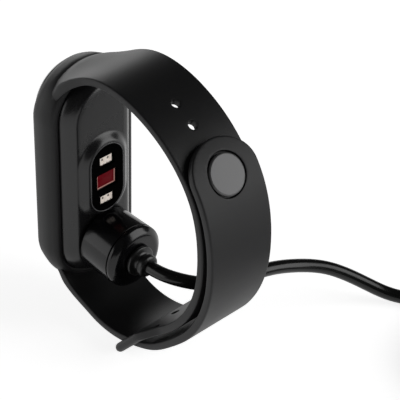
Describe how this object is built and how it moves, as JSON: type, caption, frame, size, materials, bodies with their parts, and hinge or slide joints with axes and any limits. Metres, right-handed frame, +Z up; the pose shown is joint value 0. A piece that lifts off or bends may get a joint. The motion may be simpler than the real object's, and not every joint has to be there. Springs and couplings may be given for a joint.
{
  "type": "fitness tracker band",
  "caption": "Silicone wristband holding a slim tracker capsule with an optical pulse sensor on its back, snap stud clasp, and a magnetic charging lead docked on the capsule.",
  "frame": {"origin": "on the surface the band stands on, at the middle of the band's bounding box seen from above; the charging cord, its coil and its plug are left out of that box", "axes": "+Z up along the capsule's length; +X from the capsule towards the clasp on the far side of the loop; Y across the strap"},
  "size_m": [0.1075, 0.0748, 0.0609],
  "materials": {
    "strap_silicone": "matte charcoal silicone, faintly powdery",
    "button_metal": "dark grey satin metal",
    "peg_steel": "plain satin steel",
    "capsule_plastic": "satin black moulded plastic",
    "cover_glass": "gloss black, opaque where the display is off",
    "adhesive_tape": "black foam tape",
    "display_face": "dark display face",
    "frame_plate": "stamped plate",
    "battery_pouch": "foil pouch",
    "motor_steel": "turned can",
    "circuit_board": "green solder mask",
    "chip_plastic": "moulded chip package",
    "window_plastic": "clear polished window, printed black",
    "photodiode_resin": "dark red filter",
    "led_package": "cream ceramic package",
    "sensor_board_mask": "black solder mask",
    "contact_gold": "gold plated",
    "magnet_nickel": "nickel plated",
    "charger_plastic": "semi-gloss black moulded plastic",
    "relief_rubber": "black moulded elastomer",
    "cord_jacket": "glossy black jacket",
    "tie_strip": "woven black strip",
    "plug_plastic": "satin black moulded grip",
    "plug_steel": "folded bright steel",
    "tongue_plastic": "white insulator"
  },
  "bodies": {
    "strap": {"strap_frame": "strap_silicone", "upper_strap": "strap_silicone", "lower_strap": "strap_silicone", "keeper_loop": "strap_silicone"},
    "clasp_tip": {"strap_tip": "strap_silicone", "stud_button": "button_metal", "stud_peg": "peg_steel"},
    "tracker": {"capsule_shell": "capsule_plastic", "front_glass": "cover_glass", "glass_adhesive": "adhesive_tape", "display_panel": "display_face", "inner_frame": "frame_plate", "battery": "battery_pouch", "vibration_motor": "motor_steel", "main_board": "circuit_board", "processor_chip": "chip_plastic", "radio_chip": "chip_plastic", "sensor_window": "window_plastic", "photodiode": "photodiode_resin", "led_upper": "led_package", "led_lower": "led_package", "sensor_board": "sensor_board_mask", "contact_near": "contact_gold", "contact_far": "contact_gold", "dock_magnet_upper": "magnet_nickel", "dock_magnet_lower": "magnet_nickel"},
    "charger": {"charger_housing": "charger_plastic", "charger_cap": "charger_plastic", "charger_magnet_upper": "magnet_nickel", "charger_magnet_lower": "magnet_nickel", "charger_board": "circuit_board", "strain_relief": "relief_rubber", "charging_cord": "cord_jacket", "cord_coil": "cord_jacket", "cord_tie": "tie_strip", "cord_tail": "cord_jacket", "usb_grip": "plug_plastic", "usb_shell": "plug_steel", "usb_tongue": "tongue_plastic"},
    "pin_near": {"pogo_pin_near": "contact_gold"},
    "pin_far": {"pogo_pin_far": "contact_gold"}
  },
  "joints": [
    {"name": "capsule_release", "type": "slide", "parent": "strap", "child": "tracker", "axis": [-1, 0, 0], "range_m": [0, 0.014]},
    {"name": "charger_tilt", "type": "hinge", "parent": "tracker", "child": "charger", "pos_m": [-0.01261, 0, 0.02347], "axis": [0, -1, 0], "range_deg": [0, 20]},
    {"name": "clasp_peel", "type": "hinge", "parent": "strap", "child": "clasp_tip", "pos_m": [0.02463, 0, 0.03687], "axis": [0, 1, 0], "range_deg": [0, 40]},
    {"name": "pin_near_travel", "type": "slide", "parent": "charger", "child": "pin_near", "axis": [1, 0, 0], "range_m": [0, 0.0006], "stiffness_N_per_m": 300},
    {"name": "pin_far_travel", "type": "slide", "parent": "charger", "child": "pin_far", "axis": [1, 0, 0], "range_m": [0, 0.0006], "stiffness_N_per_m": 300}
  ]
}
